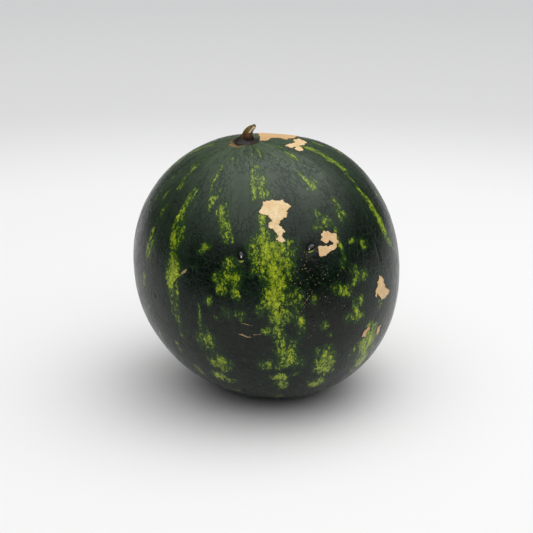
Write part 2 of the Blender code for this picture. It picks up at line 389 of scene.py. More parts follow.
# %% Blotches of each stripe
STRIPES = {
    "middle": (
        (18, 75, 0.8, 4, 0.75), (5, 74, 0.5, 1.5, 0.6), (7, 66, 0.8, 1.5, 0.8), (3, 64, 0.8, 1.5, 0.6),
        (1.5, 56, 1.0, 6, 0.85), (8, 57, 1.8, 6, 0.85), (5, 51, 2.5, 1.5, 0.8), (4.5, 41, 1.5, 4, 0.8),
        (2, 39, 1, 2, 0.5), (3, 33, 2, 3, 0.9), (5.5, 28, 6.5, 7, 1.0), (5, 21, 5, 5, 1.0),
        (5, 16, 4, 5, 1.0), (4, 10, 3.2, 5, 0.95), (3.5, 5, 2, 5, 0.9), (2.5, 1, 1.8, 2.5, 0.7),
        (-2.5, 5.5, 1.6, 2.5, 0.85), (11, 7, 2, 4, 0.6), (13.5, 8, 1.5, 3, 0.6), (8, 1, 4, 2.5, 0.75),
        (12, -4, 1.5, 4, 0.75), (-1, -4, 2, 1.5, 0.7), (3, -6, 2, 4, 0.7), (5, -14, 4, 4.5, 0.85),
        (5, -20, 4, 4, 0.75), (-4, -20.5, 2.5, 2.5, 0.75), (0, -28.5, 3, 1.5, 1.0),
        (0.5, -34, 2, 5, 0.75), (-3, -47, 2, 2, 0.8), (11, -21, 1, 2, 0.6), (8, -27, 1, 2, 0.6)),
    "inner_left": (
        (-20, 72, 0.6, 3, 0.5), (-27, 67, 0.6, 2, 0.6), (-28, 62, 0.6, 2, 0.65), (-30, 59, 0.8, 1, 0.6),
        (-28, 55, 0.6, 3, 0.55), (-22, 53, 0.7, 2.5, 0.8), (-24, 50.5, 1, 1.5, 0.8),
        (-26, 47, 1.2, 3, 0.7), (-17.5, 45, 1.8, 3.5, 0.85), (-15, 39, 2.2, 3, 0.75),
        (-13, 34, 1.8, 2, 0.6), (-24, 31.5, 1.6, 1.5, 0.8), (-27, 29, 1.5, 1, 0.5),
        (-12.5, 24.5, 2.5, 2.5, 0.9), (-15, 20, 4, 3, 0.8), (-18.5, 15.5, 1.2, 2.5, 0.9),
        (-16.5, 15.5, 0.8, 3, 0.8), (-12, 14, 1.8, 3.5, 0.8), (-29, 23, 1.2, 0.8, 0.6),
        (-23.5, 10.5, 1.5, 2, 0.65), (-28, 5, 0.7, 4, 0.7), (-17, 5, 1.6, 2.5, 0.65),
        (-21, 3, 1, 1.5, 0.5), (-11, 4, 1.5, 2.2, 0.7), (-27, -7, 3.5, 5, 0.65), (-28, 0, 1, 1.5, 0.5),
        (-24.5, -19, 4, 4.5, 0.85), (-29, -28, 3, 3.5, 0.7), (-24, -31, 2.5, 2, 0.6),
        (-27, -41, 2, 1.5, 0.7), (-2.5, -3.5, 1.4, 1.5, 0.5)),
    "left": (
        (-62, 67, 0.7, 5, 0.6), (-58, 59, 0.8, 6, 0.75), (-55, 54, 1, 2, 0.8), (-40, 51, 1.6, 3.5, 0.85),
        (-42.5, 45, 1.3, 2.5, 0.75), (-41.5, 41, 1.8, 2.5, 0.85), (-40.5, 37, 2.2, 2, 0.8),
        (-41, 32, 2.6, 4, 0.9), (-40.5, 24, 2.4, 5, 0.95), (-40, 20, 2.9, 4, 1.0), (-41, 17, 2.2, 3, 0.9),
        (-42, 12, 1.2, 3, 0.75), (-38, 13, 0.8, 2.5, 0.7), (-40, 5, 2, 6, 0.6), (-39.5, -4, 1.2, 6, 0.6),
        (-36, -4, 0.9, 2, 0.55), (-44.5, -14, 1.3, 3.5, 0.6), (-40, -28, 1.4, 4, 0.9)),
    "far_left": (
        (-73, 52, 1, 10, 0.55), (-63, 46, 1.2, 4, 0.55), (-57, 42, 0.9, 3, 0.75), (-58, 28, 2.5, 6, 0.7),
        (-60, 25, 1.2, 3, 0.8), (-61, 12, 1.5, 5, 0.8), (-60, 0, 1, 2, 0.65), (-57, -12, 1.5, 3, 0.7)),
    "inner_right": (
        (54, 73, 0.8, 1.8, 0.6), (48, 66, 1, 4, 0.7), (38, 55.5, 0.7, 2.5, 0.8), (39.5, 50, 2.2, 3.5, 0.9),
        (35, 48, 0.7, 1, 0.7), (53, 52, 0.5, 0.5, 0.7), (50, 46, 0.7, 0.7, 0.6), (32.5, 38, 1, 2, 0.65),
        (34.5, 33.5, 2, 2.5, 0.75), (29.5, 32, 1.5, 2, 0.7), (46, 39, 0.8, 2.5, 0.6),
        (44.5, 34, 2, 4, 0.65), (37.5, 29, 0.9, 2, 0.85), (36.5, 22, 0.9, 4.5, 0.85),
        (34, 16, 1.1, 2.5, 0.8), (43, 22, 1.8, 1.2, 0.65), (49, 18.5, 2, 2, 0.55),
        (28.5, 7, 1.8, 2.5, 0.75), (33, 4.5, 2.2, 2.5, 0.75), (39, 9, 2.2, 4, 0.65),
        (44, 7.5, 1.8, 2, 0.6), (37, -3.5, 1.8, 4.5, 0.75), (39.5, -1.5, 1.2, 2, 0.7),
        (33, -7, 2, 2.5, 0.7), (38, -9, 2.2, 2.5, 0.55), (19, 5.5, 1.2, 2, 0.5),
        (21.5, -6.5, 1.6, 2, 0.55), (23, -11, 1, 1.5, 0.55), (17.5, -17, 1, 1.5, 0.55),
        (22, -16.5, 1.6, 1.5, 0.65), (21.5, -26, 3.6, 6.5, 1.0), (18, -38, 3, 4, 0.85)),
    "right": (
        (77, 63, 1.3, 4, 0.85), (74, 55, 1.8, 6, 0.95), (72.5, 47.5, 1.1, 3.5, 0.85), (69, 42, 1, 3, 0.75),
        (67.5, 35, 1.2, 4, 0.8), (66.5, 28, 1.5, 3, 0.85), (66.5, 20, 2.2, 8, 1.0), (69.5, 8, 0.9, 5, 0.75),
        (82, 27, 0.8, 4, 0.55), (51.5, -8, 1.3, 3, 0.6), (44.5, -24, 4.5, 8, 1.0),
        (43, -35, 2.8, 5, 0.95), (36, -24, 2.2, 3, 0.6)),
}
print("stripes placed by hand:", list(STRIPES))

# %% [markdown]
# The hidden side needs stripes too, since the melon may be turned. Nobody has to place those by hand: a
# random generator draws them by the rules that the front stripes follow, narrow near the stem and wider,
# with the odd broad blotch, further down. Its seed is fixed, so every run grows the same melon.

# %% Stripes for the side away from the viewer
BACK_STRIPES = (100, 128, 153, 178, -155, -128, -98)    # longitudes
ROWS_OF_BLOTCHES = 20
TOP_LATITUDE = 74
LATITUDE_SPAN = 132
NARROWEST = 0.6             # half width of a blotch at the stem end, in degrees of arc
WIDENING = 2.4              # the most that is added to it low down
BROAD_CHANCE = 0.2
BROAD_FACTOR = 1.6
draw = random.Random(7)


def grown_stripe(longitude):
    """A stripe of the same kind from stem end to blossom end, drawn from a seeded generator."""
    blotches = []
    for row in range(ROWS_OF_BLOTCHES):
        latitude = TOP_LATITUDE - row * LATITUDE_SPAN / ROWS_OF_BLOTCHES
        low_down = 1 - max(0, latitude) / 90
        wide = NARROWEST + WIDENING * low_down * draw.random()
        wide *= BROAD_FACTOR if draw.random() < BROAD_CHANCE else 1
        blotches.append((
            longitude + draw.uniform(-3, 3), latitude + draw.uniform(-2, 2), wide,
            draw.uniform(2.0, 5.0), draw.uniform(0.35, 1.0)))
    return blotches


for number, longitude in enumerate(BACK_STRIPES):
    STRIPES[f"back_{number}"] = grown_stripe(longitude)
print(sum(len(blotches) for blotches in STRIPES.values()), "blotches in", len(STRIPES), "stripes")

# %% [markdown]
# A list of blotches becomes one smooth value over the skin. Each blotch hides its share of what is still
# bare, so overlapping ones join up and never add to more than 1. The freckles, the bruised dark area and
# the pale spot that lay on the soil are fields of the same kind.

# %% Soft fields from blotches
BLOTCH_SPREAD = 1.18        # blotches bleed out to this share of their drawn width
BLOTCH_SQUARENESS = 1.3     # above 1, a blotch is flatter inside and steeper at its edge


def soft_field(longitude, latitude, blotches):
    """How strongly the blotches cover each place: half of its strength at a blotch's half width."""
    bare = np.ones(len(longitude))
    level = np.cos(np.radians(latitude))
    for spot_longitude, spot_latitude, half_width, half_length, strength in blotches:
        apart = (longitude - spot_longitude + 180) % 360 - 180
        across = apart * level / (BLOTCH_SPREAD * half_width)
        along = (latitude - spot_latitude) / half_length
        bare *= 1 - strength * 0.5 ** ((across**2 + along**2) ** BLOTCH_SQUARENESS)
    return 1 - bare


longitude, latitude = globe_angles(ways)
stripe_field = soft_field(longitude, latitude, [spot for spots in STRIPES.values() for spot in spots])
FRECKLED = ((16, 13, 6, 6, 1.0), (14, 20, 8, 7, 0.55), (22, 9, 10, 8, 0.5), (14, 0, 8, 9, 0.35))
freckle_field = soft_field(longitude, latitude, FRECKLED)
GROUND_SPOT = ((158, -38, 17, 15, 1.0), (170, -30, 10, 12, 0.6))
ground_field = soft_field(longitude, latitude, GROUND_SPOT)
BRUISED = ((22, -6, 10, 10, 0.8), (8, 4, 6, 7, 0.5), (30, -14, 10, 8, 0.5), (-12, -2, 10, 8, 0.35))
bruise_field = soft_field(longitude, latitude, BRUISED)
print("share of the skin that stripes cover:", float((stripe_field > 0.5).mean().round(3)))

# %% [markdown]
# ## From the bmesh to an object
#
# The fields go onto the mesh as named attributes. They stay with the surface wherever it goes, and a
# shader reads them by name. The "growth" attribute is the globe unrolled: two numbers that circle the
# melon and one that runs from stem end to blossom end, so that noise read from it stretches along the
# growth lines.

# %% Build the melon object
STEM_AZIMUTH = math.radians(220.7)      # where the stalk stands, seen from the body's middle
STEM_ELEVATION = math.radians(78.4)
NEAR_STALK = 0.9                        # cosine of the angle inside which the stalk's stain is placed
STEM_WAY = np.array([
    math.cos(STEM_ELEVATION) * math.cos(STEM_AZIMUTH),
    math.cos(STEM_ELEVATION) * math.sin(STEM_AZIMUTH),
    math.sin(STEM_ELEVATION)])


def store(mesh, name, values, kind="FLOAT"):
    """Write one value for each vertex as a named attribute."""
    attribute = mesh.attributes.new(name, kind, "POINT")
    values = np.asarray(values, dtype=np.float32)
    attribute.data.foreach_set("vector" if kind == "FLOAT_VECTOR" else "value", values.ravel())


def finish_mesh(name, shape):
    """Turn a bmesh into a smooth-shaded object at the origin."""
    mesh = bpy.data.meshes.new(name)
    shape.to_mesh(mesh)
    shape.free()
    mesh.shade_smooth()
    piece = bpy.data.objects.new(name, mesh)
    bpy.context.collection.objects.link(piece)
    return piece


for vert, place in zip(body.verts, skin):
    vert.co = Vector(place)
melon = finish_mesh("melon_rind", body)
around = np.radians(longitude)
down = np.radians(90 - latitude)
growth = np.stack([np.cos(around), np.sin(around), down], axis=1) * MEAN_RADIUS
store(melon.data, "growth", growth, "FLOAT_VECTOR")
store(melon.data, "stripe", stripe_field)
store(melon.data, "scar", scar_depth)
store(melon.data, "scar_tone", tone_of_nearest(ways))
store(melon.data, "scratch", scratch_depth)
store(melon.data, "dimple", dimple_shade_share)
store(melon.data, "freckle", freckle_field)
store(melon.data, "ground", ground_field)
store(melon.data, "bruise", bruise_field)
store(melon.data, "north", latitude / 90)
foot_places = np.zeros((len(ways), 3))
near_foot = ways @ STEM_WAY > NEAR_STALK
foot_places[:, 0] = FAR_MM
foot_places[near_foot] = (ways[near_foot] - STEM_WAY) * MEAN_RADIUS * MM
store(melon.data, "foot", foot_places, "FLOAT_VECTOR")
print("melon:", len(melon.data.vertices), "vertices", len(melon.data.attributes), "attributes")

# %% [markdown]
# ## Node helpers
#
# Shaders are easier to read when each node is one short line. These helpers add a node, set its sockets by
# name, and link whatever is already a socket.

# %% Helpers
def place(tree, kind, sockets=(), **settings):
    """Add a node, set its settings, and fill its input sockets by name or number."""
    node = tree.nodes.new(kind)
    for name, value in settings.items():
        setattr(node, name, value)
    for name, value in dict(sockets).items():
        if isinstance(value, bpy.types.NodeSocket):
            tree.links.new(value, node.inputs[name])
        else:
            node.inputs[name].default_value = value
    return node


def sums(tree, operation, *values):
    """A Math node on its values."""
    return place(tree, "ShaderNodeMath", enumerate(values), operation=operation).outputs[0]


def ease(tree, value, low, high, start=0.0, stop=1.0):
    """Go smoothly from start to stop as a value goes from low to high."""
    sockets = {"Value": value, "From Min": low, "From Max": high, "To Min": start, "To Max": stop}
    return place(tree, "ShaderNodeMapRange", sockets, interpolation_type="SMOOTHSTEP").outputs[0]


def blend(tree, share, first, second, mode="MIX"):
    """Mix two colours."""
    sockets = {0: share, 6: first, 7: second}
    return place(tree, "ShaderNodeMix", sockets, data_type="RGBA", blend_type=mode).outputs[2]


def read(tree, name, output="Fac"):
    """A named attribute of the mesh."""
    return place(tree, "ShaderNodeAttribute", attribute_name=name).outputs[output]


def grain(tree, where, scale, detail=3.0, rough=0.55, bend=0.0):
    """Soft noise from 0 to 1."""
    sockets = {"Vector": where, "Scale": scale, "Detail": detail, "Roughness": rough, "Distortion": bend}
    return place(tree, "ShaderNodeTexNoise", sockets).outputs[0]


def swings(tree, value, amount):
    """Turn a value from 0 to 1 into one that swings round zero, half of an amount either way."""
    return sums(tree, "MULTIPLY", sums(tree, "SUBTRACT", value, 0.5), amount)


def stretch(tree, where, amounts):
    """Scale a position, differently along each axis."""
    return place(tree, "ShaderNodeVectorMath", {0: where, 1: amounts}, operation="MULTIPLY").outputs[0]


def colour(red, green, blue):
    """A colour with full alpha."""
    return (red, green, blue, 1.0)


def grey(tree, value):
    """The same value as red, green and blue."""
    return place(tree, "ShaderNodeCombineColor", {0: value, 1: value, 2: value}).outputs[0]


print("node helpers: place, sums, ease, blend, read, grain, swings, stretch, colour, grey")

# %% [markdown]
# ## Shared effects
#
# Cork, the stalk and the rind all show fine dry grain, and cork and the rind both crack in a net of
# fine lines. Each effect is one node group with named inputs, so that it is tuned in one place.

# %% Group: net of fine cracks
def new_group(name, inputs, outputs):
    """An empty node group with its sockets, and its input and output nodes."""
    tree = bpy.data.node_groups.new(name, "ShaderNodeTree")
    for title, kind, default in inputs:
        socket = tree.interface.new_socket(title, in_out="INPUT", socket_type=kind)
        if default is not None:
            socket.default_value = default
    for title, kind in outputs:
        tree.interface.new_socket(title, in_out="OUTPUT", socket_type=kind)
    return tree, tree.nodes.new("NodeGroupInput"), tree.nodes.new("NodeGroupOutput")


crack_net, given, result = new_group(
    "Crack net",
    [("Position", "NodeSocketVector", None), ("Scale", "NodeSocketFloat", 100.0),
     ("Width", "NodeSocketFloat", 0.05), ("Wander", "NodeSocketFloat", 0.004)],
    [("Line", "NodeSocketFloat")])
WANDER_SCALE = 180.0
wander = place(
    crack_net, "ShaderNodeTexNoise", {"Vector": given.outputs[0], "Scale": WANDER_SCALE, "Detail": 3.0})
centred = place(
    crack_net, "ShaderNodeVectorMath", {0: wander.outputs[1], 1: (0.5, 0.5, 0.5)}, operation="SUBTRACT")
shifted = place(
    crack_net, "ShaderNodeVectorMath", {0: centred.outputs[0], "Scale": given.outputs[3]}, operation="SCALE")
moved = place(
    crack_net, "ShaderNodeVectorMath", {0: given.outputs[0], 1: shifted.outputs[0]}, operation="ADD")
cells = place(
    crack_net, "ShaderNodeTexVoronoi", {"Vector": moved.outputs[0], "Scale": given.outputs[1]},
    feature="DISTANCE_TO_EDGE")
line = ease(crack_net, cells.outputs["Distance"], 0.0, given.outputs[2], 1.0, 0.0)
crack_net.links.new(line, result.inputs[0])
print("group:", crack_net.name, "with", len(crack_net.nodes), "nodes")

# %% [markdown]
# Dry things look dusty because their tone jitters from grain to grain. The second group gives a tone
# round 1, to multiply a colour with. Its contrast is an input, since the stalk is rougher than the cork.

# %% Group: fine dry grain
dry_grain, given, result = new_group(
    "Dry grain",
    [("Position", "NodeSocketVector", None), ("Scale", "NodeSocketFloat", 900.0),
     ("Contrast", "NodeSocketFloat", 0.3)],
    [("Tone", "NodeSocketFloat")])
fine = place(
    dry_grain, "ShaderNodeTexNoise",
    {"Vector": given.outputs[0], "Scale": given.outputs[1], "Detail": 5.0, "Roughness": 0.65})
jitter = swings(dry_grain, fine.outputs[0], given.outputs[2])
dry_grain.links.new(sums(dry_grain, "ADD", jitter, 1.0), result.inputs[0])
print("group:", dry_grain.name, "with", len(dry_grain.nodes), "nodes")

# %% [markdown]
# Every material below starts in the same way, and most of them place one of the two groups.

# %% Use a group, start a material
def use_group(tree, group, *values):
    """Place a node group and return its first output."""
    return place(tree, "ShaderNodeGroup", enumerate(values), node_tree=group).outputs[0]


def new_material(name):
    """A material with its tree, its Principled shader and the position on the object."""
    material = bpy.data.materials.new(name)
    material.use_nodes = True
    tree = material.node_tree
    shader = tree.nodes["Principled BSDF"]
    position = place(tree, "ShaderNodeTexCoord").outputs["Object"]
    return material, tree, shader, position


print("groups to place:", [group.name for group in (crack_net, dry_grain)])

# %% [markdown]
# ## The rind
#
# The rind is thin wax over near-black green. From the bottom up, the colour is: a cloudy dark green, a
# fine dark net of vessels, stripes of yellow-green broken by darker green, tan freckles, then cork. The
# stripe field is soft, and adding noise to it before a sharp threshold is what gives the stripes their
# torn, mottled edges.

# %% Rind: dark ground
ALONG_GROWTH = (1.0, 1.0, 0.55)         # noise read through these is longer along the growth lines
CLOUD_RANGE = (0.35, 0.7)
LOW_GREENS = colour(0.0007, 0.0034, 0.0018), colour(0.0030, 0.0110, 0.0055)
PAINTED_LIT_CROWN_GREENS = colour(0.042, 0.068, 0.041), colour(0.082, 0.120, 0.070)
MOSS_GREEN = colour(0.018, 0.044, 0.016)
BRUISE_BROWN = colour(0.007, 0.007, 0.005)
rind, tree, shader, position = new_material("waxy_rind")
grow = read(tree, "growth", "Vector")
long_grow = stretch(tree, grow, ALONG_GROWTH)
clouds = grain(tree, long_grow, 45.0, 5.0, 0.6)
fine_clouds = grain(tree, position, 420.0, 4.0, 0.62)
north = read(tree, "north")
stripe = read(tree, "stripe")
bruise = read(tree, "bruise")
low_green = blend(tree, ease(tree, clouds, *CLOUD_RANGE), *LOW_GREENS)
# Painted light: towards the stem end the ground green turns much lighter and greyer, as the crown looks under
# the bright light overhead.
painted_lit_crown_green = blend(tree, ease(tree, clouds, *CLOUD_RANGE), *PAINTED_LIT_CROWN_GREENS)
deep_green = blend(tree, ease(tree, north, 0.20, 1.00), low_green, painted_lit_crown_green)
deep_green = blend(tree, ease(tree, fine_clouds, 0.45, 0.75, 0.0, 0.5), deep_green, MOSS_GREEN)
bruised = blend(tree, sums(tree, "MULTIPLY", bruise, 0.8), deep_green, BRUISE_BROWN)
print("rind so far:", len(tree.nodes), "nodes")

# %% [markdown]
# Near the stem, thin pale streaks run outwards from the stalk. They are noise that is ten times longer
# than it is wide. The net of dark vessels is the crack group, and a slow noise breaks it up, because on a
# real rind the net comes and goes.

# %% Rind: pale streaks and dark vessels
STREAK_GREEN = colour(0.17, 0.24, 0.075)
VESSEL_GREEN = colour(0.002, 0.005, 0.003)
VESSEL_SCALE = 180.0
VESSEL_WIDTH = 0.095        # as a share of one cell of the net
VESSEL_WANDER = 0.009
streaks = grain(tree, stretch(tree, grow, (1.0, 1.0, 0.10)), 330.0, 3.0, 0.6)
near_stem = ease(tree, north, 0.70, 0.93, 0.0, 0.6)
streak_mask = sums(tree, "MULTIPLY", ease(tree, streaks, 0.54, 0.68), near_stem)
streaked = blend(tree, streak_mask, bruised, STREAK_GREEN)
vessel_place = stretch(tree, grow, (1.0, 1.0, 0.85))
vessels = use_group(tree, crack_net, vessel_place, VESSEL_SCALE, VESSEL_WIDTH, VESSEL_WANDER)
broken = ease(tree, grain(tree, position, 60.0, 2.0), 0.36, 0.54)
vessel_line = sums(tree, "MULTIPLY", vessels, broken)
ground_green = blend(tree, sums(tree, "MULTIPLY", vessel_line, 0.80), streaked, VESSEL_GREEN)
print("rind so far:", len(tree.nodes), "nodes")

# %% [markdown]
# A stripe isn't painted on: it is where the dark green is missing in patches. So the soft stripe field
# gets two sizes of noise added, weaker where the stripe is full, and a fine net taken away. What is left
# passes through thresholds: a leafy fringe first, then olive, then lime in the thick of the stripe.

# %% Rind: torn edges of the stripes
COARSE_TEAR = 2.6
FINE_TEAR = 2.4
NET_CUT = 0.33
tatter = grain(tree, stretch(tree, grow, ALONG_GROWTH), 190.0, 3.0, 0.62, 0.5)
fray = grain(tree, stretch(tree, grow, (1.0, 1.0, 0.8)), 480.0, 3.0, 0.6, 0.9)
torn = sums(tree, "ADD", swings(tree, tatter, COARSE_TEAR), swings(tree, fray, FINE_TEAR))
held = ease(tree, stripe, 0.02, 0.35)
calm = ease(tree, stripe, 0.55, 1.0, 1.0, 0.58)
ragged = sums(tree, "ADD", stripe, sums(tree, "MULTIPLY", torn, sums(tree, "MULTIPLY", held, calm)))
net = use_group(tree, crack_net, grow, 250.0, 0.15, 0.009)
ragged = sums(tree, "SUBTRACT", ragged, sums(tree, "MULTIPLY", net, NET_CUT))
print("rind so far:", len(tree.nodes), "nodes")

# %% [markdown]
# The stripes' green is brightest on the sides, duller towards the stem and paler underneath, where the
# melon saw no sun. Each change is one more mix, driven by how far north the place is.

# %% Rind: colours of the stripes
OLIVES = colour(0.050, 0.095, 0.005), colour(0.155, 0.220, 0.007)
LIME = colour(0.40, 0.47, 0.022)
DUSKY_LIME = colour(0.20, 0.29, 0.055)
PALE_LIME = colour(0.34, 0.43, 0.085)
LEAF_GREEN = colour(0.014, 0.044, 0.006)
PEPPER_GREEN = colour(0.030, 0.055, 0.020)
olive = blend(tree, ease(tree, ragged, 0.62, 0.80), *OLIVES)
lime = blend(tree, ease(tree, ragged, 0.82, 1.25), olive, LIME)
dusky = blend(tree, ease(tree, north, 0.35, 0.75, 0.0, 0.50), lime, DUSKY_LIME)
pale_low = blend(tree, ease(tree, north, -0.15, -0.40, 0.0, 0.35), dusky, PALE_LIME)
fringe = sums(tree, "ADD", stripe, swings(tree, tatter, 1.2))
ground_green = blend(tree, ease(tree, fringe, 0.05, 0.60, 0.0, 0.55), ground_green, LEAF_GREEN)
skin_colour = blend(tree, ease(tree, ragged, 0.12, 0.46, 0.0, 0.9), ground_green, LEAF_GREEN)
skin_colour = blend(tree, ease(tree, ragged, 0.50, 0.64), skin_colour, pale_low)
pepper = ease(tree, grain(tree, position, 1100.0, 2.0, 0.5), 0.66, 0.72, 0.0, 0.55)
skin_colour = blend(tree, pepper, skin_colour, PEPPER_GREEN)
print("rind so far:", len(tree.nodes), "nodes")

# %% [markdown]
# The side that lay on the soil never turned green: it is straw yellow, with a torn edge. It is low on the
# back. The same noise that tears the stripes tears its edge, so the two look like one skin.

# %% Rind: ground spot, where it lay on the soil
STRAWS = colour(0.62, 0.46, 0.12), colour(0.74, 0.60, 0.24)
spread = sums(tree, "ADD", read(tree, "ground"), swings(tree, tatter, 0.5))
spot_mask = ease(tree, spread, 0.25, 0.80, 0.0, 0.93)
straw = blend(tree, ease(tree, tatter, 0.35, 0.65), *STRAWS)
skin_colour = blend(tree, spot_mask, skin_colour, straw)
print("rind so far:", len(tree.nodes), "nodes")

# %% [markdown]
# Freckles are scattered tan dots, crowded in the middle of the front and few elsewhere. A Voronoi texture
# gives every cell a random colour. A cell gets a dot only if its red value is under the freckle field, and
# the same value sets the dot's size, so no two neighbours match.

# %% Rind: freckles
FRECKLE_SCALE = 540.0
FRECKLE_TAN = colour(0.36, 0.24, 0.11)
DOT_RADIUS = 0.10           # of the smallest dot, as a share of a cell
DOT_GROWTH = 0.12
cells = place(tree, "ShaderNodeTexVoronoi", {"Vector": position, "Scale": FRECKLE_SCALE, "Randomness": 1.0})
lucky = place(tree, "ShaderNodeSeparateColor", {0: cells.outputs["Color"]}).outputs[0]
chosen = sums(tree, "LESS_THAN", lucky, sums(tree, "MULTIPLY", read(tree, "freckle"), 0.85))
dot_size = sums(tree, "MULTIPLY_ADD", lucky, DOT_GROWTH, DOT_RADIUS)
dot = ease(tree, sums(tree, "SUBTRACT", cells.outputs["Distance"], dot_size), 0.0, 0.06, 1.0, 0.0)
freckle_mask = sums(tree, "MULTIPLY", chosen, dot)
skin_colour = blend(tree, sums(tree, "MULTIPLY", freckle_mask, 0.8), skin_colour, FRECKLE_TAN)
print("rind so far:", len(tree.nodes), "nodes")

# %% [markdown]
# Every dimple and pit is painted nearly black at its middle, painted shade in the hollows. Round the
# stalk the rind is bruised dark, with a rusty ring that reaches out further on one side. The "foot"
# attribute holds the place in millimetres from the stalk's middle, so the ring is one distance plus
# noise, and the lopsided side is a slope added to it.

# %% Rind: dimples and the ring round the stalk
HOLLOW_PAINTED_SHADE = colour(0.003, 0.005, 0.002)
RUST = colour(0.34, 0.19, 0.06)
STALK_STAIN = colour(0.020, 0.013, 0.012)
RING_WANDER_MM = 9.0
RUST_LEAN = 0.28            # how lopsided the rusty ring is, in mm for each mm to the left
RUST_EDGE_MM = (7.5, 9.5)
STAIN_EDGE_MM = (9.0, 11.5)
# Painted shade: the middle of every dimple and pit is darkened nearly to black.
hollow_shade_mask = ease(tree, read(tree, "dimple"), 0.25, 0.6, 0.0, 0.92)
skin_colour = blend(tree, hollow_shade_mask, skin_colour, HOLLOW_PAINTED_SHADE)
from_stalk = read(tree, "foot", "Vector")
foot = place(tree, "ShaderNodeSeparateXYZ", {0: from_stalk}).outputs
foot_gap = place(tree, "ShaderNodeVectorMath", {0: from_stalk}, operation="LENGTH").outputs["Value"]
ring = sums(tree, "ADD", foot_gap, swings(tree, grain(tree, position, 260.0, 4.0), RING_WANDER_MM))
sideways = sums(tree, "ADD", foot[0], sums(tree, "MULTIPLY", foot[1], 0.6))
rust_ring = sums(tree, "ADD", ring, sums(tree, "MULTIPLY", sideways, RUST_LEAN))
skin_colour = blend(tree, ease(tree, rust_ring, *RUST_EDGE_MM, 0.8, 0.0), skin_colour, RUST)
skin_colour = blend(tree, ease(tree, ring, *STAIN_EDGE_MM, 0.9, 0.0), skin_colour, STALK_STAIN)
print("rind so far:", len(tree.nodes), "nodes")

# %% [markdown]
# Cork is dry and cloudy tan. It darkens to a thin brown lip at its edge, and just outside the lip the
# green is almost black. Colour, roughness and height all start from the same jittered distance to the
# outline, so the edge of one never slides off the edge of another.

# %% Rind: cork
CORK_TANS = colour(0.74, 0.53, 0.28), colour(0.87, 0.68, 0.41)
CORK_BROWN = colour(0.62, 0.37, 0.17)
CORK_CRACK = colour(0.30, 0.17, 0.07)
CORK_LIP_BROWN = colour(0.42, 0.25, 0.10)
RIM_GREEN = colour(0.008, 0.010, 0.004)
SCRATCH_TAN = colour(0.34, 0.24, 0.12)
EDGE_JITTER_MM = 1.6
jitter = swings(tree, grain(tree, position, 900.0, 3.0, 0.6), EDGE_JITTER_MM)
scar_edge = sums(tree, "ADD", read(tree, "scar"), jitter)
scar_mask = ease(tree, scar_edge, -0.12, 0.12)
scratch_edge = sums(tree, "ADD", read(tree, "scratch"), sums(tree, "MULTIPLY", jitter, 0.3))
scratch_mask = ease(tree, scratch_edge, -0.06, 0.06)
cork_clouds = grain(tree, position, 190.0, 4.0, 0.6)
cork = blend(tree, ease(tree, cork_clouds, 0.35, 0.7), *CORK_TANS)
cork = blend(tree, sums(tree, "MULTIPLY", read(tree, "scar_tone"), 0.85), cork, CORK_BROWN)
cork_grain = use_group(tree, dry_grain, position, 1500.0, 0.35)
cork = blend(tree, 1.0, cork, grey(tree, cork_grain), "MULTIPLY")
cork_lines = use_group(tree, crack_net, position, 260.0, 0.03, 0.003)
cork = blend(tree, sums(tree, "MULTIPLY", cork_lines, 0.25), cork, CORK_CRACK)
cork = blend(tree, ease(tree, scar_edge, 0.0, 0.45, 0.55, 0.0), cork, CORK_LIP_BROWN)
skin_colour = blend(tree, ease(tree, scar_edge, -0.75, -0.1, 0.0, 0.7), skin_colour, RIM_GREEN)
skin_colour = blend(tree, scratch_mask, skin_colour, SCRATCH_TAN)
skin_colour = blend(tree, scar_mask, skin_colour, cork)
print("rind so far:", len(tree.nodes), "nodes")

# %% [markdown]
# Wax shines, but unevenly, where it is worn. Cork doesn't shine at all. The finest relief, pores and the
# sunken net, is too small for the mesh, so it is a bump of well under half a millimetre. Anything larger
# is already in the mesh.

# %% Rind: gloss and small relief
WAX_ROUGHNESS = (0.21, 0.34)
CORK_DULLNESS = 0.40        # added to the wax's roughness
WAX_IOR = 1.33
BUMP_STRENGTH = 0.75
BUMP_METRES = 0.0004
wax_wear = grain(tree, long_grow, 130.0, 5.0, 0.65)
wax_rough = ease(tree, wax_wear, 0.3, 0.75, *WAX_ROUGHNESS)
rough = sums(tree, "ADD", wax_rough, sums(tree, "MULTIPLY", scar_mask, CORK_DULLNESS))
pores = grain(tree, position, 1300.0, 3.0, 0.6)
height = sums(tree, "MULTIPLY", pores, 0.18)
height = sums(tree, "SUBTRACT", height, sums(tree, "MULTIPLY", vessel_line, 0.38))
height = sums(tree, "ADD", height, sums(tree, "MULTIPLY", fine_clouds, 0.38))
height = sums(tree, "ADD", height, sums(tree, "MULTIPLY", scar_mask, sums(tree, "MULTIPLY", cork_grain, 0.8)))
bump = {"Strength": BUMP_STRENGTH, "Distance": BUMP_METRES, "Height": height}
relief = place(tree, "ShaderNodeBump", bump).outputs[0]
tree.links.new(skin_colour, shader.inputs["Base Color"])
tree.links.new(rough, shader.inputs["Roughness"])
tree.links.new(relief, shader.inputs["Normal"])
shader.inputs["IOR"].default_value = WAX_IOR
print("rind:", len(tree.nodes), "nodes")

# %% [markdown]
# The finished mesh takes the place of the imported melon, which is kept for its size. It rides on the
# part's only body and carries the rind material.

# %% Put the rind in place of the imported melon
melon.data.materials.append(rind)
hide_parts("fruit")
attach(melon, "root")
print(melon.name, "takes the place of the packed melon")

# %% [markdown]
# ## Beads of dried sap
#
# A drop of sap that oozed from a tiny wound dried to a hard, glossy bead, almost black. Its lower end
# is painted olive, a painted glow of light shining through the sap. Each is a small closed drop, sunk
# half-way into its dimple.

# %% The way the skin faces
SLOPE_STEP = 0.001          # how far apart the skin is felt for its slope, in radians


def skin_point(way):
    """The place on the skin in one direction, before the fine relief."""
    way = unit(way)
    return MIDDLE + way * body_radius(way[None, :])[0]


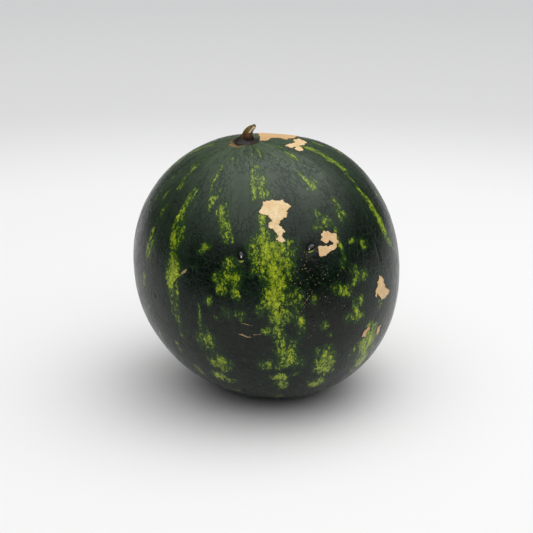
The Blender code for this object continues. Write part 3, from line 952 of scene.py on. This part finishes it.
def skin_frame(way):
    """East, north and outward on the skin at a direction, as the columns of a matrix."""
    east = unit(np.cross(STEM_END, way))
    east_step, north_step = SLOPE_STEP * east, SLOPE_STEP * np.cross(way, east)
    slope_east = skin_point(way + east_step) - skin_point(way - east_step)
    slope_north = skin_point(way + north_step) - skin_point(way - north_step)
    outward = unit(np.cross(slope_east, slope_north))
    east = unit(slope_east)
    return np.stack([east, np.cross(outward, east), outward], axis=1)


print("skin under the stalk faces", skin_frame(STEM_WAY)[:, 2].round(3))

# %% [markdown]
# A drop hangs, so its lower end is the fuller one. A sphere is squashed to the drop's size, turned, and
# seated with one matrix, whose columns are the skin's own east, north and outward.

# %% Sap beads
BEAD_SIDES = 40
BEAD_RINGS = 24
BEAD_RISE = 0.0016          # half the drop's thickness
BEAD_SINK = 0.0005          # how far its middle is under the skin's plain shape
BEAD_SAG = 0.16             # how much fuller its lower end is, as a share
SAP_BLACK = colour(0.002, 0.003, 0.002)
SAP_PAINTED_GLOW = colour(0.17, 0.22, 0.015)


def make_bead(name, longitude, latitude, half_wide, half_tall, tilt, material):
    """A low drop of sap: a squashed sphere, fuller at its lower end, set into the skin."""
    shape = bmesh.new()
    bmesh.ops.create_uvsphere(shape, u_segments=BEAD_SIDES, v_segments=BEAD_RINGS, radius=1.0)
    for vert in shape.verts:
        vert.co.x *= 1 - BEAD_SAG * vert.co.y
    bmesh.ops.scale(shape, verts=shape.verts[:], vec=(half_wide / MM, half_tall / MM, BEAD_RISE))
    turn = Matrix.Rotation(math.radians(tilt), 3, "Z")
    bmesh.ops.rotate(shape, verts=shape.verts[:], cent=(0, 0, 0), matrix=turn)
    way = globe_direction(longitude, latitude)
    seat = Matrix(skin_frame(way).tolist()).to_4x4()
    seat.translation = Vector(skin_point(way) - way * BEAD_SINK)
    bmesh.ops.transform(shape, matrix=seat, verts=shape.verts[:])
    bmesh.ops.recalc_face_normals(shape, faces=shape.faces[:])
    local_up = np.array([seat.inverted() @ vert.co for vert in shape.verts])[:, 1] * MM / half_tall
    bead = finish_mesh(name, shape)
    store(bead.data, "upper", local_up)
    bead.data.materials.append(material)
    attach(bead, "root")
    return bead


sap, tree, shader, position = new_material("dried_sap")
# Painted light: the lower end of each bead is coloured olive for light shining through the sap.
painted_glow_end = ease(tree, read(tree, "upper"), -0.90, -0.45, 1.0, 0.0)
tree.links.new(blend(tree, painted_glow_end, SAP_BLACK, SAP_PAINTED_GLOW), shader.inputs["Base Color"])
sap_flaws = grain(tree, position, 900.0, 2.0)
tree.links.new(ease(tree, sap_flaws, 0.3, 0.8, 0.06, 0.16), shader.inputs["Roughness"])
for name, (lon, lat, wide, tall, tilt) in SAP_BEADS.items():
    make_bead(name, lon, lat, wide, tall, tilt, sap)
print("beads:", list(SAP_BEADS))

# %% [markdown]
# ## The stalk
#
# The stub of stalk flares into a foot where it joined the fruit, bends over, and ends in a slanting cut.
# It dried with deep ribs. A tube along a curve would give a round, even cable, so rings are placed along
# the bend one by one and bridged, each with its own ribs, and the cut is a real slice through them.

# %% Rings up the stalk
STALK_SIDES = 96
STALK_STEPS = 9             # rings between two stations
STALK_RIBS = 5
RIB_TWIST = 60              # how fast the ribs wind round the stalk, in radians for each metre
FINE_RIBS = 17
STATIONS = (                # towards +X, towards +Y, outwards, radius
    (0.0000, 0.0000, -0.0060, 0.0104),
    (0.0000, 0.0000, -0.0016, 0.0100),
    (0.0002, 0.0000, 0.0000, 0.0078),
    (0.0005, 0.0000, 0.0015, 0.0058),
    (0.0010, 0.0000, 0.0034, 0.0047),
    (0.0017, 0.0001, 0.0055, 0.0039),
    (0.0028, 0.0002, 0.0073, 0.0032),
    (0.0045, 0.0003, 0.0089, 0.0025),
    (0.0066, 0.0004, 0.0101, 0.0018),
    (0.0081, 0.0004, 0.0110, 0.0013),
)


def stalk_rings():
    """Middle, heading and radius of each ring, on a smooth curve through the stations."""
    stations = np.array(STATIONS)
    ends = np.vstack([2 * stations[0] - stations[1], stations, 2 * stations[-1] - stations[-2]])
    rings = []
    for index in range(len(stations) - 1):
        before, start, stop, after = ends[index : index + 4]
        for step in range(STALK_STEPS):
            t = step / STALK_STEPS
            rings.append(0.5 * (
                2 * start + (stop - before) * t
                + (2 * before - 5 * start + 4 * stop - after) * t**2
                + (3 * start - 3 * stop + after - before) * t**3))
    rings = np.array(rings + [stations[-1]])
    headings = np.gradient(rings[:, :3], axis=0)
    return [(Vector(ring[:3]), Vector(heading), ring[3]) for ring, heading in zip(rings, headings)]


def rib_share(angle, height):
    """How far the stalk's ribs stand out at an angle: sharp ribs, wide furrows, splayed at the foot."""
    wave = 0.5 + 0.5 * math.cos(STALK_RIBS * angle + RIB_TWIST * height)
    fine = 0.5 + 0.5 * math.cos(FINE_RIBS * angle + 3)
    return 0.86 + 0.20 * wave**1.6 + 0.03 * fine


print("rings up the stalk:", len(stalk_rings()))

# %% [markdown]
# The knife that freed the melon shaved a strip off the front of the stalk before it went through. The
# strip is made by pressing the vertices that stand out past a plane back onto it, and it is marked with
# its own attribute, so that the shader can show pale wood there. The slice itself leaves one face, which
# is inset and pushed in a little, because the soft middle of a stalk shrinks as it dries.

# %% Stalk shape
CUT_POINT = (0.0075, 0.0004, 0.0105)        # on the slanting cut, from the foot's middle
CUT_NORMAL = (0.75, -0.55, 0.37)
CUT_TOLERANCE = 1e-7
CUT_RIM = 0.0003                            # width of the bark round the cut
PITH_EDGE = 0.0002
PITH_DEPTH = 0.0004
SHAVED_POINT = (0.0061, -0.0011, 0.0089)    # on the shaved strip
SHAVED_NORMAL = (0.54, -0.83, -0.10)
SHAVED_FROM = (0.0062, 0.0074)              # the strip begins between these heights
SHAVED_FULL_MM = 0.12                       # shaved this deep, the wood is fully bare
LUMP_SHARE = 0.07
LUMP_SIZE = 1.3
LUMP_LENGTH = 260


def make_stalk():
    """Rings bridged up the bend, shaved along the front, and sliced on the slant at the tip."""
    shape = bmesh.new()
    shaved = shape.verts.layers.float.new("shaved")
    shaved_way = Vector(unit(SHAVED_NORMAL))
    rims = []
    for centre, heading, radius_here in stalk_rings():
        verts = bmesh.ops.create_circle(shape, radius=1.0, segments=STALK_SIDES)["verts"]
        turn = Vector((0, 0, 1)).rotation_difference(heading)
        for number, vert in enumerate(verts):
            angle = 2 * math.pi * number / STALK_SIDES
            spot = Vector((math.cos(angle), math.sin(angle), centre.z * LUMP_LENGTH))
            lump = noise.noise(spot * LUMP_SIZE)
            reach = radius_here * rib_share(angle, centre.z) * (1 + LUMP_SHARE * lump)
            spoke = Vector((reach * math.cos(angle), reach * math.sin(angle), 0))
            vert.co = centre + turn @ spoke
            beyond = (vert.co - Vector(SHAVED_POINT)).dot(shaved_way)
            share = step_up(vert.co.z, *SHAVED_FROM)
            if beyond > 0 and share > 0:
                vert.co -= shaved_way * beyond * share
                vert[shaved] = min(1.0, beyond * MM / SHAVED_FULL_MM) * share
        rims.append(list({edge for vert in verts for edge in vert.link_edges}))
    for lower, upper in zip(rims, rims[1:]):
        bmesh.ops.bridge_loops(shape, edges=lower + upper)
    for rim in (rims[0], rims[-1]):
        bmesh.ops.edgeloop_fill(shape, edges=rim)
    parts = shape.verts[:] + shape.edges[:] + shape.faces[:]
    cut = bmesh.ops.bisect_plane(
        shape, geom=parts, dist=CUT_TOLERANCE, plane_co=CUT_POINT, plane_no=CUT_NORMAL, clear_outer=True)
    rim = [part for part in cut["geom_cut"] if isinstance(part, bmesh.types.BMEdge)]
    cut_face = bmesh.ops.edgeloop_fill(shape, edges=rim)["faces"]
    bmesh.ops.recalc_face_normals(shape, faces=shape.faces[:])
    bmesh.ops.inset_region(shape, faces=cut_face, thickness=CUT_RIM, depth=0.0)
    bmesh.ops.inset_region(shape, faces=cut_face, thickness=PITH_EDGE, depth=-PITH_DEPTH)
    return shape


stalk_shape = make_stalk()
print("stalk:", len(stalk_shape.verts), "vertices and", len(stalk_shape.faces), "faces")

# %% [markdown]
# The stalk was modelled upright round the origin. Before it is leant and moved to its place on the skin,
# its own height and its spread from the middle are kept as attributes, for a finish that follows it.

# %% Seat the stalk on the skin
STALK_HEIGHT = 0.012
FOOT_SPREAD = 0.010
local = np.array([vert.co for vert in stalk_shape.verts])
outward = Matrix(skin_frame(STEM_WAY).tolist()).col[2]
lean = Vector((0, 0, 1)).rotation_difference(outward).to_matrix()
bmesh.ops.rotate(stalk_shape, verts=stalk_shape.verts[:], cent=(0, 0, 0), matrix=lean)
bmesh.ops.translate(stalk_shape, verts=stalk_shape.verts[:], vec=Vector(skin_point(STEM_WAY)))
stalk = finish_mesh("dried_stalk", stalk_shape)
store(stalk.data, "rise", local[:, 2] / STALK_HEIGHT)
store(stalk.data, "spread", np.hypot(local[:, 0], local[:, 1]) / FOOT_SPREAD)

# %% [markdown]
# A withered stalk is nearly black at its foot, amber half-way up and gold at its tip, where it is thin
# and the sap has gone. Long fibres run up it. They are noise squeezed to a quarter of its length, and
# each colour of the stalk is a pair that the fibres choose between.

# %% Stalk finish: brown, amber and gold
FOOT_BROWNS = colour(0.004, 0.002, 0.002), colour(0.016, 0.008, 0.006)
AMBERS = colour(0.030, 0.012, 0.003), colour(0.15, 0.070, 0.010)
TIP_GOLDS = colour(0.070, 0.045, 0.007), colour(0.21, 0.15, 0.028)
bark, tree, shader, position = new_material("withered_stalk")
rise = read(tree, "rise")
fibres = grain(tree, stretch(tree, position, (1.0, 1.0, 0.25)), 1500.0, 4.0, 0.6)
fibre_share = ease(tree, fibres, 0.35, 0.65)
foot_brown, amber, tip_gold = [
    blend(tree, fibre_share, *pair) for pair in (FOOT_BROWNS, AMBERS, TIP_GOLDS)]
bark_colour = blend(tree, ease(tree, rise, 0.18, 0.45), foot_brown, amber)
bark_colour = blend(tree, ease(tree, rise, 0.45, 0.72), bark_colour, tip_gold)
print("stalk so far:", len(tree.nodes), "nodes")

# %% [markdown]
# Then come the marks of its life: the foot's rim is tan where it tore from the rind, a grey film of dust
# clings low down, and the shaved strip shows pale wood. Dust and dry grain also keep it dull.

# %% Stalk finish: rim, film and bare wood
RIM_TAN = colour(0.42, 0.20, 0.06)
DUST_GREY = colour(0.055, 0.045, 0.048)
BARE_WOOD = colour(0.80, 0.60, 0.42)
BARK_ROUGHNESS = 0.45
BARK_SHINE = 0.3
bark_colour = blend(tree, ease(tree, read(tree, "spread"), 0.92, 1.05, 0.0, 0.5), bark_colour, RIM_TAN)
grey_film = ease(tree, grain(tree, position, 350.0, 3.0), 0.5, 0.75, 0.0, 0.35)
low_down = ease(tree, rise, 0.0, 0.35, 1.0, 0.0)
bark_colour = blend(tree, sums(tree, "MULTIPLY", grey_film, low_down), bark_colour, DUST_GREY)
bark_colour = blend(tree, ease(tree, read(tree, "shaved"), 0.35, 0.75), bark_colour, BARE_WOOD)
bark_grain = grey(tree, use_group(tree, dry_grain, position, 1800.0, 0.6))
tree.links.new(blend(tree, 1.0, bark_colour, bark_grain, "MULTIPLY"), shader.inputs["Base Color"])
shader.inputs["Roughness"].default_value = BARK_ROUGHNESS
shader.inputs["Specular IOR Level"].default_value = BARK_SHINE
bark_relief = place(tree, "ShaderNodeBump", {"Strength": 0.7, "Distance": 0.0003, "Height": fibres})
tree.links.new(bark_relief.outputs[0], shader.inputs["Normal"])
stalk.data.materials.append(bark)
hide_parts("stem")
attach(stalk, "root")
print("stalk:", len(tree.nodes), "nodes")

# %% [markdown]
# ## Floor, light and camera
#
# The melon stands on pale, seamless paper in a room that is bright overhead and dim round about, as under
# a large light tent. The bright ceiling gives the broad haze on the crown and a soft shadow close under
# the melon. The paper's colour is painted light: pale near the melon and greyer further out, a painted
# falloff of the light. A small lamp in front puts a spark on the sap beads, and a dark card in front,
# seen only by reflections, keeps the waxy front deep and dark.

# %% Floor
FLOOR_REACH = 30.0
FLOOR_SIDES = 64
PAPER_NEAR = colour(0.815, 0.815, 0.815)
PAPER_PAINTED_DIMMER = colour(0.68, 0.68, 0.685)
PAPER_PAINTED_DIMMEST = colour(0.62, 0.625, 0.63)
floor_shape = bmesh.new()
bmesh.ops.create_circle(floor_shape, cap_ends=True, radius=FLOOR_REACH, segments=FLOOR_SIDES)
floor = finish_mesh("floor", floor_shape)
paper, tree, shader, position = new_material("seamless_paper")
far = place(tree, "ShaderNodeVectorMath", {0: position}, operation="LENGTH").outputs["Value"]
# Painted light: the paper is painted paler near the melon and greyer with distance, a painted falloff of the
# light.
paper_painted_light = blend(tree, ease(tree, far, 0.60, 1.35), PAPER_NEAR, PAPER_PAINTED_DIMMER)
paper_painted_light = blend(tree, ease(tree, far, 1.2, 4.0), paper_painted_light, PAPER_PAINTED_DIMMEST)
tree.links.new(paper_painted_light, shader.inputs["Base Color"])
shader.inputs["Roughness"].default_value = 0.9
shader.inputs["Specular IOR Level"].default_value = 0.1
floor.data.materials.append(paper)
print("paper reaches", FLOOR_REACH, "m round the melon")

# %% [markdown]
# Both lamps are flat rectangles that face the melon's middle. The large one overhead only lifts the
# crown. The small one would put a second highlight on the wax, so light linking keeps it to the beads.

# %% Lamps
def hang_light(name, wide, tall, watts, location):
    """A rectangular lamp that faces the melon's middle and isn't seen by the camera."""
    lamp = bpy.data.lights.new(name, "AREA")
    lamp.shape = "RECTANGLE"
    lamp.size = wide
    lamp.size_y = tall
    lamp.energy = watts
    rig = bpy.data.objects.new(name, lamp)
    rig.location = location
    rig.rotation_euler = (Vector(location) - Vector(MIDDLE)).to_track_quat("Z", "Y").to_euler()
    rig.visible_camera = False
    bpy.context.collection.objects.link(rig)
    return rig


hang_light("soft_box", 0.9, 0.9, 3.0, (0.35, 0.10, 1.2))
spark = hang_light("spark", 0.40, 0.36, 6.0, (-0.06, -1.05, 0.58))
lit_by_spark = bpy.data.collections.new("sap_beads")
for name in SAP_BEADS:
    lit_by_spark.objects.link(bpy.data.objects[name])
spark.light_linking.receiver_collection = lit_by_spark

# %% [markdown]
# Shiny things show what stands round them. A low, curved black card in front of the melon darkens the
# reflections of the paper on its lower half. It is one upright edge spun part of the way round, and its
# visibility switches leave it in reflections only: it casts no shadow and the camera doesn't see it.

# %% Dark card
CARD_RADIUS = 0.50
CARD_HEIGHT = 0.24
CARD_HALF_TURN = math.radians(62)
CARD_STEPS = 24
CARD_BLACK = colour(0.01, 0.01, 0.01)
card_shape = bmesh.new()
card_left = -CARD_RADIUS * math.sin(CARD_HALF_TURN)
card_front = -CARD_RADIUS * math.cos(CARD_HALF_TURN)
ends = [
    bmesh.ops.create_vert(card_shape, co=(card_left, card_front, z))["vert"][0]
    for z in (0.0, CARD_HEIGHT)]
edge = card_shape.edges.new(ends)
bmesh.ops.spin(
    card_shape, geom=[edge] + ends, cent=(0, 0, 0), axis=(0, 0, 1), angle=2 * CARD_HALF_TURN,
    steps=CARD_STEPS)
card = finish_mesh("dark_card", card_shape)
card.visible_camera = False
card.visible_diffuse = False
card.visible_shadow = False
card.visible_transmission = False
black, tree, shader, position = new_material("black_card")
shader.inputs["Base Color"].default_value = CARD_BLACK
shader.inputs["Roughness"].default_value = 1.0
card.data.materials.append(black)
print("dark card:", len(card.data.polygons), "faces")

# %% [markdown]
# The tent itself is the world's background: bright in one direction, nearly overhead and a little towards
# the viewer, and easing down to dim at the horizon. How bright a direction is depends only on the angle
# between it and the ceiling's, which is one dot product.

# %% Room
CEILING_WAY = (0.10, -0.20, 0.97)
CEILING_EDGES = (0.42, 0.92)            # cosines between which the light eases from low to high
ROOM_LOW = 0.10
ROOM_HIGH = 1.86
room = bpy.data.worlds.new("light_tent")
room.use_nodes = True
tree = room.node_tree
heading = place(tree, "ShaderNodeTexCoord").outputs["Generated"]
to_ceiling = place(tree, "ShaderNodeVectorMath", {0: heading, 1: CEILING_WAY}, operation="DOT_PRODUCT")
glow = ease(tree, to_ceiling.outputs["Value"], *CEILING_EDGES, ROOM_LOW, ROOM_HIGH)
tree.links.new(glow, tree.nodes["Background"].inputs["Strength"])
tree.nodes["Background"].inputs["Color"].default_value = colour(1, 1, 1)
bpy.context.scene.world = room
bpy.context.scene.view_settings.view_transform = "Standard"
print("room brightness from", ROOM_LOW, "to", ROOM_HIGH)

# %% [markdown]
# The camera looks slightly down, so that the stalk's foot and the crown's scars show. It stands close,
# with a longish lens, and aims a hair below and to the left of the body's middle to frame the melon.

# %% Camera
CAMERA_ELEVATION = math.radians(18.4)
CAMERA_DISTANCE = 0.84
LENS_MM = 72.2
SENSOR_MM = 36.0
AIM_DOWN = 0.0020
AIM_LEFT = 0.0005
camera = bpy.data.cameras.new("camera")
camera.lens = LENS_MM
camera.sensor_width = SENSOR_MM
camera_rig = bpy.data.objects.new("camera", camera)
bpy.context.collection.objects.link(camera_rig)
back = Vector((0, -math.cos(CAMERA_ELEVATION), math.sin(CAMERA_ELEVATION)))
up_in_view = Vector((0, math.sin(CAMERA_ELEVATION), math.cos(CAMERA_ELEVATION)))
aim = Vector(MIDDLE) - up_in_view * AIM_DOWN - Vector((AIM_LEFT, 0, 0))
camera_rig.location = aim + back * CAMERA_DISTANCE
camera_rig.rotation_euler = (math.pi / 2 - CAMERA_ELEVATION, 0, 0)
bpy.context.scene.camera = camera_rig
print("camera at", [round(v, 3) for v in camera_rig.location])
